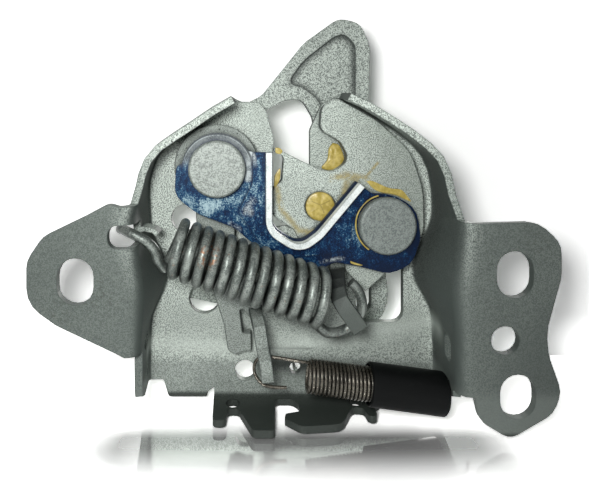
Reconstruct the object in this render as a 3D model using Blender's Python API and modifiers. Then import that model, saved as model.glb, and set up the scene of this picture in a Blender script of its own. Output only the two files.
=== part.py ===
"""Bonnet latch: folded base plate, claw, pawl, safety hook, cover bracket, rivets and springs.

Values are millimetres and are scaled to metres where a mesh is made. X is to the right and Z up
as the latch is seen from its front, and Y runs to the rear. The origin is the centre of the
latched striker bar, on the plane that the rear faces of the two ears lie in.
"""

import math

import bmesh
import bpy
from mathutils import Matrix, Vector

MM = 0.001

# Base plate
SHEET = 2.0  # thickness of the folded sheet
WEB_FRONT = 18.0  # front face of the web, behind the ears' rear faces at 0
SHELF_STEP = -1.1  # the shelf stands this far in front of the web
SEAT_DEPTH = 2.0  # round seat, pressed to the rear
FOLD = 3.0  # length of sheet that each fold takes on either side, at mid thickness
FLANGE_FRONT = 4.0  # front edge of the shoulder flanges
LOWER_WALL_FRONT = 1.0
SLOT_HALF = 5.5  # striker slot
SEAT_RADIUS = 13.0
SEAT_RIM = 17.2

# Stack on the two front pivots, each face a GAP from the next
GAP = 0.3
LEVER_FRONT = 12.9  # claw and pawl
LEVER = 3.6
COVER_FRONT = 11.0
COVER = 1.6
LAND = 0.8  # raised land beside the striker guide
LIP_FRONT = 7.5
LIP = 2.0
HEAD_RADIUS = 7.9
HEAD = 2.7
PIN_RADIUS = 4.0
BUSH_RADIUS = 6.0
TAIL_RADIUS = 6.0
SPACER_RADIUS = 8.5

# Pivots
LEFT_PIVOT = (-21.3, 15.2)  # pawl
RIGHT_PIVOT = (25.8, -0.5)  # claw
HOOK_PIVOT = (-0.7, -20.0)  # safety hook

# Safety hook, behind the seat and the shelf
HOOK_FRONT = WEB_FRONT + SHEET + SEAT_DEPTH + GAP
HOOK = 2.7
HOOK_PANEL = 1.2  # depth of the pressed panel in its head
HOOK_PANEL_SLOPE = 1.1

# Springs
MAIN_WIRE = 2.7
MAIN_RADIUS = 6.85
MAIN_Y = 3.0
MAIN_TURNS = 13
MAIN_START = (-32.9, -4.4)
MAIN_END = (6.7, -18.2)
RETURN_WIRE = 0.9
RETURN_RADIUS = 3.95
RETURN_Y = 6.0
RETURN_TURNS = 32
RETURN_START = (3.2, -40.1)
RETURN_END = (36.0, -44.5)
SLEEVE_SPAN = (19.6, 39.8)
SLEEVE_RADIUS = 5.5
SLEEVE_BORE = 4.8
HOOK_SPRING_WIRE = 1.4
HOOK_SPRING_RADIUS = 6.6
HOOK_SPRING_TURNS = 3
HOOK_SPRING_PITCH = 1.65
HOOK_SPRING_HOLE = (15.0, 1.0)
SHELF_SPRING_HOLE = (1.1, -43.6)
RETURN_HOLE = (6.0, -41.8)  # Y and Z of the return spring's hole in the right wall

# Middle line of the side walls' folds at the web, tip first, then down; the darts press it inward
LEFT_FOLD = [(-17.4, 35.3), (-22.8, 32.2), (-28.4, 28.4), (-33.6, 25.0), (-37.6, 22.2),
             (-40.6, 18.6), (-42.2, 14.6), (-43.0, 11.0), (-43.1, 6.6), (-42.8, 2.5),
             (-42.5, -2.0), (-41.3, -6.0), (-39.2, -9.8), (-37.6, -13.3), (-37.4, -17.0),
             (-38.6, -20.8), (-40.6, -24.6), (-42.2, -28.0), (-42.7, -31.6)]
RIGHT_FOLD = [(14.8, 36.2), (19.8, 33.9), (25.0, 30.8), (31.0, 26.9), (36.2, 22.9),
              (39.6, 19.2), (41.7, 14.6), (42.7, 9.0), (42.9, 2.4), (42.5, 0.0),
              (41.5, -3.0), (39.4, -6.8), (37.4, -10.8), (36.7, -14.4), (37.4, -18.0),
              (39.8, -21.8), (42.0, -25.6), (42.8, -29.0), (42.9, -31.6)]
EAR_ROWS = {-1: range(8, 19), 1: range(8, 24)}  # rows of each side whose wall folds out to an ear
JOGGLE = [(-33.0, 0.0), (-34.2, 0.14), (-35.8, 0.5), (-37.4, 0.86), (-38.6, 1.0)]  # Z, share
WALL_FOOT = [(-43.5, 1.0, -41.6), (-45.8, 1.7, -43.4), (-47.0, 4.2, -44.6)]  # Z, front Y and Z
SHOULDER_LEAN = 1.5  # how far the flanges' front edges lean inward
WALL_LEAN = {-1: 1.8, 1: 1.2}

RIGHT_SHOULDER = [(12.0, 35.3, 0), (10.6, 34.6, 1.0), (8.9, 33.5, 1.5), (5.5, 26.0, 2.0)]
LEFT_SHOULDER = [(-5.5, 20.6, 3.0), (-4.9, 23.0, 4.0), (-7.4, 32.0, 3.0), (-9.6, 34.2, 1.0),
                 (-14.5, 34.4, 0)]
SLOT_FOOT = -6.5

LEFT_EAR = [(-48.0, 7.4, 3.0), (-54.0, 4.2, 8.0), (-64.4, -0.8, 6.0), (-68.6, -7.0, 6.0),
            (-68.6, -18.0, 8.0), (-61.0, -23.4, 9.0), (-47.0, -30.0, 3.0)]
RIGHT_EAR = [(60.6, 2.7, 6.0), (66.4, -2.6, 6.0), (66.4, -11.0, 6.0), (62.6, -25.0, 9.0),
             (63.2, -31.0, 9.0), (66.4, -40.0, 6.0), (64.4, -45.6, 6.0), (53.4, -52.0, 4.0),
             (46.0, -47.6, 4.0)]

SHELF_FOOT = [(-37.4, -47.0, 0.6), (-35.9, -52.0, 1.0), (-24.7, -52.0, 0.6), (-24.3, -50.5, 0.4)]
FLANGE_SPAN = (-22.6, 25.2)
FLANGE_Z = -52.3
FLANGE = [(25.0, 13.0, 3.0), (22.6, 11.2, 1.5), (22.4, 6.4, 1.4), (19.8, 6.4, 1.3),
          (19.6, 10.0, 1.2), (16.4, 10.8, 2.0), (12.2, 3.0, 4.0), (1.3, 2.0, 3.0),
          (-2.9, 5.6, 0.6), (-2.4, 7.6, 0.5), (1.4, 8.6, 0.4), (1.6, 12.4, 1.5),
          (0.0, 14.6, 2.4), (-4.8, 14.6, 2.4), (-5.0, 12.0, 1.0), (-5.8, 0.4, 1.0),
          (-11.5, 0.4, 1.6), (-15.3, 9.8, 1.2), (-18.3, 9.8, 1.0), (-18.6, 4.6, 1.5),
          (-22.2, 4.6, 1.5)]

BOLT_SLOT = (9.3, 11.8)
LOWER_SLOT = (9.0, 11.2)
BOLT_SLOTS = [((-56.3, -12.3), BOLT_SLOT), ((54.7, -10.5), BOLT_SLOT),
              ((55.4, -41.3), LOWER_SLOT)]
ROUND_HOLES = [((52.2, -27.1), 3.6), ((-31.4, 0.0), 3.9), ((-25.6, -23.6), 4.5),
               ((-13.5, -44.3), 3.0), (SHELF_SPRING_HOLE, 1.7)]
WALL_TAB = [(-42.9, 8.0, -0.9), (-40.4, 8.0, -0.6), (-38.2, 8.0, -1.1), (-37.0, 8.0, -2.2)]
WALL_TAB_SIZE = (4.4, 1.4)
SPRING_HOLE = [(-48.2, -4.0, 2.4), (-48.2, 1.8, 2.4), (-40.4, 1.8, 1.6), (-40.4, -4.0, 1.6)]
WINDOW = [(16.5, -30.6, 3.0), (33.0, -30.6, 3.0), (33.0, -8.5, 3.0), (16.5, -8.5, 3.0)]

GUIDE = [(-5.8, 19.8, 0), (-5.8, -1.0, 4.2), (1.4, -5.6, 5.0), (6.2, -2.0, 4.0), (17.6, 11.6, 0)]
COVER_EDGE = [(22.0, 8.2, 1.5), (27.5, 8.0, 7.0), (34.6, 4.2, 7.0), (35.6, -4.6, 2.0),
              (33.2, -11.6, 6.0), (27.0, -14.4, 6.0), (18.6, -12.2, 4.0), (11.4, -10.9, 3.0),
              (7.4, -13.3, 3.0), (-0.5, -13.0, 4.0), (-9.0, -7.8, 4.0), (-16.6, -1.3, 5.0),
              (-27.0, 2.6, 8.0), (-33.4, 7.6, 5.0), (-32.8, 15.8, 2.0)]
COVER_RING = 10.0  # radius of the cover above the left pivot
LAND_EDGE = [(21.6, 8.2, 0.8), (16.2, 1.6, 2.0), (15.8, -7.4, 1.5), (8.4, -8.7, 2.0),
             (-1.0, -9.4, 2.0), (-9.0, -6.0, 2.0), (-15.4, 3.2, 1.5), (-11.3, 11.4, 3.0),
             (-11.3, 19.8, 0.4)]

CLAW = [(-5.3, 21.2, 0.8), (4.0, 16.5, 3.0), (11.2, 13.6, 4.6), (16.4, 17.6, 4.2),
        (13.4, 22.8, 3.0), (7.6, 26.2, 3.0), (8.2, 32.6, 3.0), (12.4, 35.4, 3.5),
        (24.2, 28.7, 9.0), (33.6, 20.0, 12.0), (37.2, 9.0, 12.0), (37.4, -3.2, 6.0),
        (33.0, -8.8, 6.0), (20.7, -20.0, 0.6), (15.4, -14.2, 1.0), (9.6, -13.2, 1.0),
        (8.6, -8.6, 3.0), (2.2, -6.6, 2.0), (0.2, -2.2, 1.5), (-5.9, 1.8, 2.0),
        (-5.9, 9.4, 2.0), (-3.2, 11.4, 1.5), (-2.6, 18.6, 1.5), (-5.4, 19.8, 0.5)]
CLAW_DIMPLE = ((7.9, 4.2), 4.6, 1.0)

PAWL_HUB = 12.1
PAWL_HUB_CENTRE = (-21.6, 15.6)
PAWL_HUB_SPAN = (216.0, -38.0)  # degrees, over the top
PAWL_ARM = [(-12.4, 2.2, 0.6), (-16.4, 2.2, 1.0), (-16.4, -6.0, 5.0), (-13.6, -15.0, 5.0),
            (-9.0, -19.6, 2.0), (-9.0, -27.2, 0.4), (-12.4, -27.2, 0.4), (-15.3, -23.4, 1.0),
            (-14.2, -31.8, 0.8), (-11.8, -32.0, 0.4), (-11.6, -37.0, 0.6), (-13.6, -36.8, 0.8),
            (-16.2, -37.9, 1.5), (-18.4, -36.8, 1.5), (-19.6, -29.0, 3.0), (-22.6, -20.0, 8.0),
            (-27.2, -4.0, 10.0), (-27.6, 4.0, 3.0)]

HOOK_EDGE = [(-12.9, 29.6, 1.2), (-14.2, 33.6, 2.5), (-8.6, 36.4, 4.0), (-0.8, 46.1, 12.0),
             (4.2, 52.4, 8.0), (14.8, 60.0, 5.0), (21.4, 58.6, 5.0), (24.5, 51.6, 6.0),
             (24.0, 34.0, 9.0), (22.6, 4.0, 20.0), (23.0, -10.0, 12.0), (29.0, -16.0, 5.0),
             (30.2, -25.0, 8.0), (27.6, -32.7, 5.0), (12.0, -32.7, 6.0), (-0.7, -30.2, 9.0),
             (-21.5, -26.9, 20.0), (-33.6, -24.4, 3.0), (-34.4, -14.6, 4.0), (-12.0, -12.4, 8.0),
             (2.0, -9.6, 8.0), (8.4, 0.0, 9.0), (8.4, 22.0, 9.0), (6.8, 30.0, 3.0),
             (3.8, 35.2, 3.2), (-1.0, 35.2, 4.0), (-7.5, 31.9, 6.0)]
HOOK_WINDOW = [(20.1, -28.9, 2.0), (24.7, -28.9, 2.0), (24.7, -17.0, 2.0), (20.1, -17.0, 2.0)]
HOOK_PANEL_EDGE = [(16.4, 55.0, 2.4), (19.5, 51.6, 2.5), (19.5, 31.0, 2.0), (11.5, 31.0, 2.0),
                   (8.6, 36.0, 3.0), (4.0, 39.6, 3.0), (-0.2, 40.2, 1.5), (4.5, 46.8, 10.0),
                   (13.2, 53.6, 3.0)]

# Pawl's strip: centre (X, Y, Z) of each station, root first
PAWL_STRIP = [(-10.7, 14.6, -25.2), (-10.6, 12.6, -25.6), (-10.1, 8.4, -26.2),
              (-9.6, 5.9, -27.3), (-9.3, 4.6, -29.2), (-8.9, 4.3, -31.4), (-8.5, 4.9, -33.4),
              (-8.2, 5.3, -35.2), (-7.9, 4.8, -37.0), (-7.6, 4.5, -38.8), (-7.3, 5.2, -41.0)]
PAWL_STRIP_SIZE = (3.5, 1.9)
# Claw's tail: centre, then the direction of its width
CLAW_TAIL = [((12.4, 14.6, -11.6), (1.0, 0.0, 0.0)), ((12.6, 12.6, -13.6), (1.0, 0.0, 0.1)),
             ((12.2, 10.2, -14.6), (1.0, 0.0, 0.15)), ((11.6, 7.6, -15.6), (0.96, 0.1, 0.25)),
             ((11.3, 5.2, -17.0), (0.9, 0.0, 0.4)), ((11.6, 3.2, -18.8), (0.82, 0.0, 0.57)),
             ((12.6, 2.0, -20.4), (0.82, 0.0, 0.57)), ((14.0, 1.5, -22.3), (0.82, 0.0, 0.57)),
             ((16.4, 1.4, -25.7), (0.82, 0.0, 0.57))]
CLAW_TAIL_SIZE = (4.4, 2.5)

# Wire ends beyond the coils
MAIN_HOOK = [(-47.2, 6.8, -0.8), (-46.4, 5.0, -0.4), (-44.8, 3.5, -0.7), (-42.8, 2.7, -1.4),
             (-40.8, 2.7, -2.4), (-38.8, 3.0, -3.8), (-37.2, 3.2, -5.8), (-36.3, 3.3, -8.4)]
MAIN_LOOP_CENTRE = (10.6, -20.8)
MAIN_LOOP_RADIUS = 7.3
RETURN_HOOK = [(-2.2, 7.2, -44.0), (-5.2, 7.2, -43.9), (-8.0, 7.2, -43.4), (-9.8, 7.2, -42.0),
               (-10.9, 7.2, -40.0), (-11.0, 7.2, -38.0), (-10.2, 7.3, -36.5), (-8.4, 7.4, -35.7),
               (-4.0, 7.0, -35.9), (0.4, 6.4, -36.4)]

COLOURS = {
    "zinc": ((0.46, 0.50, 0.47, 1), 0.55, 0.7),
    "blue_zinc": ((0.10, 0.20, 0.42, 1), 0.35, 0.8),
    "rivet_steel": ((0.50, 0.52, 0.50, 1), 0.5, 0.8),
    "spring_steel": ((0.22, 0.24, 0.22, 1), 0.35, 0.9),
    "fine_spring_steel": ((0.12, 0.11, 0.09, 1), 0.25, 0.95),
    "black_rubber": ((0.01, 0.01, 0.012, 1), 0.45, 0.0),
}


def clear_scene():
    for obj in list(bpy.data.objects):
        bpy.data.objects.remove(obj)


def new_collection(name):
    collection = bpy.data.collections.new(name)
    bpy.context.scene.collection.children.link(collection)
    return collection


def material(name):
    found = bpy.data.materials.get(name)
    if found:
        return found
    colour, roughness, metallic = COLOURS[name]
    made = bpy.data.materials.new(name)
    made.use_nodes = True
    shader = made.node_tree.nodes["Principled BSDF"]
    shader.inputs["Base Color"].default_value = colour
    shader.inputs["Roughness"].default_value = roughness
    shader.inputs["Metallic"].default_value = metallic
    made.diffuse_color = colour
    return made


def rounded(corners, closed=True, step=18.0):
    """Points of an outline given by its corners, each (across, up, radius)."""
    points = []
    for i, (x, z, radius) in enumerate(corners):
        here = Vector((x, z))
        if radius <= 0 or (not closed and i in (0, len(corners) - 1)):
            points.append((x, z))
            continue
        before = Vector(corners[i - 1][:2]) - here
        after = Vector(corners[(i + 1) % len(corners)][:2]) - here
        half = before.angle(after) / 2
        reach = min(radius / math.tan(half), 0.49 * before.length, 0.49 * after.length)
        centre = here + (before.normalized() + after.normalized()).normalized() * (
            reach / math.cos(half))
        start = here + before.normalized() * reach - centre
        end = here + after.normalized() * reach - centre
        sweep = math.atan2(start.cross(end), start.dot(end))
        count = max(1, round(abs(math.degrees(sweep)) / step))
        for k in range(count + 1):
            turn = Matrix.Rotation(sweep * k / count, 2)
            points.append(tuple(centre + turn @ start))
    return points


def arc(centre, radius, start, end, step=18.0):
    count = max(2, round(abs(end - start) / step))
    angles = [math.radians(start + (end - start) * k / count) for k in range(count + 1)]
    return [(centre[0] + radius * math.cos(a), centre[1] + radius * math.sin(a)) for a in angles]


def circle(centre, radius, sides=20):
    return arc(centre, radius, 0, 360, 360 / sides)[:-1]


def slot(centre, size):
    """A round-ended hole, taller than wide."""
    radius = size[0] / 2
    rise = (size[1] - size[0]) / 2
    top = (centre[0], centre[1] + rise)
    foot = (centre[0], centre[1] - rise)
    return arc(top, radius, 0, 180) + arc(foot, radius, 180, 360)


def smooth(points, steps):
    """A Catmull-Rom curve through the points."""
    ends = [points[0] * 2 - points[1], *points, points[-1] * 2 - points[-2]]
    curve = []
    for a, b, c, d in zip(ends, ends[1:], ends[2:], ends[3:]):
        for k in range(steps):
            t = k / steps
            curve.append(0.5 * (2 * b + (c - a) * t + (2 * a - 5 * b + 4 * c - d) * t**2
                                + (3 * b - a - 3 * c + d) * t**3))
    return [*curve, points[-1]]


def link(obj, collection, finish=None):
    collection.objects.link(obj)
    if finish:
        obj.data.materials.clear()
        obj.data.materials.append(material(finish))
    return obj


def object_from(name, mesh, collection, finish=None):
    return link(bpy.data.objects.new(name, mesh), collection, finish)


def meshed(curve_object, name, collection, finish=None):
    """The curve's mesh with its caps welded, in place of the curve."""
    collection.objects.link(curve_object)
    bpy.context.view_layer.update()
    graph = bpy.context.evaluated_depsgraph_get()
    mesh = bpy.data.meshes.new_from_object(curve_object.evaluated_get(graph))
    mesh.name = name
    place = curve_object.matrix_world.copy()
    bpy.data.objects.remove(curve_object)
    shape = bmesh.new()
    shape.from_mesh(mesh)
    bmesh.ops.remove_doubles(shape, verts=shape.verts, dist=0.001 * MM)
    bmesh.ops.recalc_face_normals(shape, faces=shape.faces)
    shape.to_mesh(mesh)
    shape.free()
    obj = object_from(name, mesh, collection, finish)
    obj.matrix_world = place
    return obj


def plate(name, loops, front, thickness, collection, finish=None, turn=(90, 0, 0), shift=(0, 0)):
    """A flat pressing: filled outlines with their holes, upright with its front face at Y=front."""
    curve = bpy.data.curves.new(name + "_outline", "CURVE")
    curve.dimensions = "2D"
    curve.fill_mode = "BOTH"
    curve.extrude = thickness / 2 * MM
    for loop in loops:
        spline = curve.splines.new("POLY")
        spline.points.add(len(loop) - 1)
        for point, (x, z) in zip(spline.points, loop):
            point.co = (x * MM, z * MM, 0, 1)
        spline.use_cyclic_u = True
    obj = bpy.data.objects.new(name + "_outline", curve)
    obj.rotation_euler = [math.radians(a) for a in turn]
    middle = (front + thickness / 2) * MM
    obj.location = {90: (0, middle, 0), 0: (0, 0, middle)}[turn[0]]
    if turn[2]:
        obj.location = (middle, shift[0] * MM, shift[1] * MM)
    return meshed(obj, name, collection, finish)


def bar(name, stations, size, collection, finish=None):
    """A bent or twisted bar of rectangular section, lofted through its stations."""
    width, thick = size
    shape = bmesh.new()
    rings = []
    for i, (centre, across) in enumerate(stations):
        before = Vector(stations[max(i - 1, 0)][0])
        after = Vector(stations[min(i + 1, len(stations) - 1)][0])
        along = (after - before).normalized()
        across = Vector(across)
        across = (across - along * across.dot(along)).normalized() * width / 2
        through = along.cross(across).normalized() * thick / 2
        corners = [(-1, -1), (1, -1), (1, 1), (-1, 1)]
        rings.append([shape.verts.new((Vector(centre) + across * a + through * b) * MM)
                      for a, b in corners])
    for one, two in zip(rings, rings[1:]):
        for k in range(4):
            shape.faces.new((one[k], one[(k + 1) % 4], two[(k + 1) % 4], two[k]))
    shape.faces.new(reversed(rings[0]))
    shape.faces.new(rings[-1])
    bmesh.ops.recalc_face_normals(shape, faces=shape.faces)
    mesh = bpy.data.meshes.new(name)
    shape.to_mesh(mesh)
    shape.free()
    return object_from(name, mesh, collection, finish)


def wire(name, points, diameter, collection, finish, resolution=2):
    """A round wire through the points, as a mesh with welded caps."""
    curve = bpy.data.curves.new(name + "_path", "CURVE")
    curve.dimensions = "3D"
    curve.bevel_depth = diameter / 2 * MM
    curve.bevel_resolution = resolution
    curve.use_fill_caps = True
    curve.twist_mode = "MINIMUM"
    spline = curve.splines.new("POLY")
    spline.points.add(len(points) - 1)
    for point, place in zip(spline.points, points):
        point.co = (*(Vector(place) * MM), 1)
    obj = meshed(bpy.data.objects.new(name + "_path", curve), name, collection, finish)
    obj.data.shade_smooth()
    obj.data.set_sharp_from_angle(angle=math.radians(60))
    return obj


def turned(name, profile, centre, collection, finish, steps=28):
    """A turned piece on an axis along Y; the profile is (radius, Y), rear to front."""
    mesh = bpy.data.meshes.new(name)
    vertices = [(radius * MM, 0, y * MM) for radius, y in profile]
    edges = [(i, i + 1) for i in range(len(vertices) - 1)]
    if profile[0][0] > 0:
        edges.append((len(vertices) - 1, 0))
    mesh.from_pydata(vertices, edges, [])
    obj = object_from(name, mesh, collection, finish)
    obj.rotation_euler = (math.radians(-90), 0, 0)
    obj.location = (centre[0] * MM, 0, centre[1] * MM)
    screw = obj.modifiers.new("Turn", "SCREW")
    screw.steps = screw.render_steps = steps
    screw.use_merge_vertices = True
    screw.merge_threshold = 0.00001
    screw.use_smooth_shade = False
    return obj


def boolean(obj, other, operation):
    cut = obj.modifiers.new(other.name, "BOOLEAN")
    cut.operation = operation
    cut.solver = "EXACT"
    cut.object = other


def cutter(obj):
    obj.hide_render = True
    obj.display_type = "WIRE"
    return obj


def inward_normals(path, side):
    """Unit vectors across the fold line, towards the web."""
    normals = []
    for i in range(len(path)):
        before = Vector(path[max(i - 1, 0)])
        after = Vector(path[min(i + 1, len(path) - 1)])
        along = (after - before).normalized()
        normals.append(Vector((-along.y, along.x)) * (-side))
    return normals


def fold(start, corner, end, count=3):
    """A round fold from start to end that is tangent to both legs of its corner."""
    return [start * (1 - t) ** 2 + corner * 2 * t * (1 - t) + end * t**2
            for t in (k / count for k in range(count + 1))]


def wall_rows(side):
    """Rows of mid-sheet points across one side, from the web to the wall's or ear's edge."""
    path = list({-1: LEFT_FOLD, 1: RIGHT_FOLD}[side])
    depths = [0.0] * len(path)
    foot_x = path[-1][0]
    for z, share in JOGGLE[1:]:
        path.append((foot_x, z))
        depths.append(share * SHELF_STEP)
    for z, _, _ in WALL_FOOT:
        path.append((foot_x, z))
        depths.append(SHELF_STEP)
    normals = inward_normals(path, side)
    rows = []
    for i, (x, z) in enumerate(path):
        inward = Vector((normals[i].x, 0, normals[i].y))
        if z < 2.5:
            inward = Vector((-side, 0, 0))
        if i == 0:  # the web's edge runs straight on from the flange's end
            inward = Vector((-side * 0.95, 0, -0.3))
        web = Vector((x, WEB_FRONT + SHEET / 2 + depths[i], z))
        has_ear = i in EAR_ROWS[side]
        if z > 2.0:
            lean = SHOULDER_LEAN * min(1.0, (z - 2.0) / 8.0)
            front = Vector((x + normals[i].x * lean, FLANGE_FRONT, z + normals[i].y * lean))
        else:
            lean = WALL_LEAN[side] * min(1.0, (2.0 - z) / 16.0)
            front = Vector((side * (42.8 - lean), LOWER_WALL_FRONT, z))
        foot = i - len(path) + len(WALL_FOOT)
        if foot >= 0:
            front.y, front.z = WALL_FOOT[foot][1:]
        if has_ear:
            front.y = -SHEET / 2
        along = (front - web).normalized()
        row = fold(web + inward * FOLD, web, web + along * FOLD)
        if has_ear:
            row += fold(front - along * FOLD, front, front - inward * FOLD)
        else:
            row.append(front)
        rows.append(row)
    return rows


def base_surface():
    """The base plate at mid thickness: folded sides, web, joggle, shelf, ears and foot flange."""
    shape = bmesh.new()
    sides = {}
    for side in (-1, 1):
        rows = [[shape.verts.new(p * MM) for p in row] for row in wall_rows(side)]
        for one, two in zip(rows, rows[1:]):
            for k in range(min(len(one), len(two)) - 1):
                shape.faces.new((one[k], one[k + 1], two[k + 1], two[k]))
        sides[side] = rows

    def flat(outline, y):
        return [shape.verts.new(Vector((x, y, z)) * MM) for x, z in outline]

    top = len(LEFT_FOLD)
    middle = WEB_FRONT + SHEET / 2
    shoulder = rounded(RIGHT_SHOULDER + [(SLOT_HALF, 20.0, 0)], closed=False)[1:]
    foot = arc((0, SLOT_FOOT + SLOT_HALF), SLOT_HALF, 0, -180, 20)
    left = rounded([(-SLOT_HALF, 10.0, 0)] + LEFT_SHOULDER, closed=False)[1:-1]
    edge = flat(shoulder + foot + left, middle)
    web = [row[0] for row in sides[-1][:top]] + [row[0] for row in reversed(sides[1][:top])] + edge
    shape.faces.new(web)
    last = top + len(JOGGLE) - 1
    for i in range(top - 1, last - 1):
        shape.faces.new((sides[-1][i][0], sides[-1][i + 1][0], sides[1][i + 1][0],
                         sides[1][i][0]))

    shelf_y = middle + SHELF_STEP
    start = FLANGE_Z + FOLD
    foot_z = WALL_FOOT[-1][0]
    foot = rounded([(-39.7, foot_z, 0)] + SHELF_FOOT + [(FLANGE_SPAN[0], start, 0)],
                   closed=False)[1:]
    left_foot = flat(foot, shelf_y)
    right_foot = flat([(FLANGE_SPAN[1], start)], shelf_y)
    right_foot += flat(rounded([(FLANGE_SPAN[1], start, 0), (27.2, -51.0, 0.6),
                                (35.6, -51.0, 1.5), (37.6, foot_z, 0)],
                               closed=False)[1:], shelf_y)
    shape.faces.new([row[0] for row in sides[-1][last - 1:]] + left_foot + right_foot
                    + [row[0] for row in reversed(sides[1][last - 1:])])

    ends = []
    for x in FLANGE_SPAN:
        ends.append(fold(Vector((x, shelf_y, start)), Vector((x, shelf_y, FLANGE_Z)),
                         Vector((x, shelf_y - FOLD, FLANGE_Z))))
    lines = [[left_foot[-1], *[shape.verts.new(p * MM) for p in ends[0][1:]]],
             [right_foot[0], *[shape.verts.new(p * MM) for p in ends[1][1:]]]]
    for k in range(len(lines[0]) - 1):
        shape.faces.new((lines[0][k], lines[0][k + 1], lines[1][k + 1], lines[1][k]))
    rear = shelf_y - FOLD
    outline = [shape.verts.new(Vector((x, y, FLANGE_Z)) * MM) for x, y in
               rounded([(FLANGE_SPAN[1], rear, 0)] + FLANGE + [(FLANGE_SPAN[0], rear, 0)],
                       closed=False)[1:-1]]
    shape.faces.new([lines[0][-1], lines[1][-1], *outline])

    for side, ear in ((-1, LEFT_EAR), (1, RIGHT_EAR)):
        edge = [sides[side][i][-1] for i in EAR_ROWS[side]]
        ends = [(v.co.x / MM, v.co.z / MM, 0) for v in (edge[0], edge[-1])]
        outer = rounded([ends[0]] + ear + [ends[1]], closed=False)[1:-1]
        shape.faces.new(edge + flat(reversed(outer), -SHEET / 2))
    bmesh.ops.recalc_face_normals(shape, faces=shape.faces)
    mesh = bpy.data.meshes.new("base_plate")
    shape.to_mesh(mesh)
    shape.free()
    return mesh


def tapered(name, loop, y_near, y_far, inset, collection):
    """A pressing tool: the outline at y_near, drawn in by the inset at y_far."""
    count = len(loop)
    shape = bmesh.new()
    rings = []
    for y, draw in ((y_near, 0.0), (y_far, inset)):
        ring = []
        for i, (x, z) in enumerate(loop):
            before, after = Vector(loop[i - 1]), Vector(loop[(i + 1) % count])
            along = (after - before).normalized()
            ring.append(shape.verts.new((
                (x - along.y * draw) * MM, y * MM, (z + along.x * draw) * MM)))
        rings.append(ring)
    for i in range(count):
        j = (i + 1) % count
        shape.faces.new((rings[0][i], rings[0][j], rings[1][j], rings[1][i]))
    shape.faces.new(reversed(rings[0]))
    shape.faces.new(rings[1])
    bmesh.ops.recalc_face_normals(shape, faces=shape.faces)
    mesh = bpy.data.meshes.new(name)
    shape.to_mesh(mesh)
    shape.free()
    return object_from(name, mesh, collection)


def cone(name, centre, near, far, y_near, y_far, collection):
    """A tapered disc on an axis along Y."""
    shape = bmesh.new()
    bmesh.ops.create_cone(shape, cap_ends=True, segments=36, radius1=near * MM,
                          radius2=far * MM, depth=(y_far - y_near) * MM)
    bmesh.ops.rotate(shape, verts=shape.verts, matrix=Matrix.Rotation(math.radians(-90), 3, "X"))
    mesh = bpy.data.meshes.new(name)
    shape.to_mesh(mesh)
    shape.free()
    obj = object_from(name, mesh, collection)
    obj.location = (centre[0] * MM, (y_near + y_far) / 2 * MM, centre[1] * MM)
    return obj


def make_base_plate(parts, cutters):
    base = object_from("base_plate", base_surface(), parts, "zinc")
    skin = base.modifiers.new("Sheet", "SOLIDIFY")
    skin.thickness = SHEET * MM
    skin.offset = 0
    skin.use_even_offset = True
    back = WEB_FRONT + SHEET
    boss = cutter(cone("seat_boss", HOOK_PIVOT, SEAT_RIM + 0.6, SEAT_RADIUS + 1.6, back - 1.0,
                       back + SEAT_DEPTH, cutters))
    boolean(base, boss, "UNION")
    rim = SEAT_RIM + (SEAT_RIM - SEAT_RADIUS) / SEAT_DEPTH
    recess = cutter(cone("seat_recess", HOOK_PIVOT, rim, SEAT_RADIUS,
                         WEB_FRONT - 1.0, WEB_FRONT + SEAT_DEPTH, cutters))
    boolean(base, recess, "DIFFERENCE")
    holes = [slot(*each) for each in BOLT_SLOTS] + [circle(*each) for each in ROUND_HOLES]
    holes += [rounded(WINDOW)]
    holes += [circle(pivot, PIN_RADIUS + GAP) for pivot in (LEFT_PIVOT, RIGHT_PIVOT, HOOK_PIVOT)]
    through = plate("sheet_holes", holes, -6.0, 34.0, cutters)
    boolean(base, cutter(through), "DIFFERENCE")
    tab = cutter(bar("wall_tab", [(point, (0, 1, 0)) for point in WALL_TAB], WALL_TAB_SIZE,
                     cutters))
    boolean(base, tab, "UNION")
    hook_hole = plate("spring_hook_hole", [rounded(SPRING_HOLE)], -6.0, 12.0, cutters)
    boolean(base, cutter(hook_hole), "DIFFERENCE")
    wall_holes = {
        "left_wall_holes": ([rounded([(6.0, -33.8, 1.6), (13.0, -33.8, 1.6), (13.0, -30.4, 1.6),
                                      (6.0, -30.4, 1.6)]), circle((12.4, -41.6), 1.7)], -48.0),
        "right_wall_holes": ([rounded([(3.6, -36.0, 2.3), (8.4, -36.0, 2.3), (8.4, -29.0, 2.3),
                                       (3.6, -29.0, 2.3)]), circle(RETURN_HOLE, 1.2)], 36.0)}
    for name, (loops, start) in wall_holes.items():
        through = plate(name, loops, start, 12.0, cutters, turn=(90, 0, 90))
        boolean(base, cutter(through), "DIFFERENCE")
    foot_holes = [circle((-17.0, 12.4), 2.0), circle((17.9, 13.2), 2.0)]
    through = plate("foot_holes", foot_holes, FLANGE_Z - 3, 6.0, cutters, turn=(0, 0, 0))
    boolean(base, cutter(through), "DIFFERENCE")
    return base


def offset_path(path, distance):
    """The path moved sideways, to the right of its direction."""
    moved = []
    for i in range(len(path)):
        before = Vector(path[max(i - 1, 0)])
        after = Vector(path[min(i + 1, len(path) - 1)])
        along = (after - before).normalized()
        moved.append((path[i][0] + along.y * distance, path[i][1] - along.x * distance))
    return moved


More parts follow.
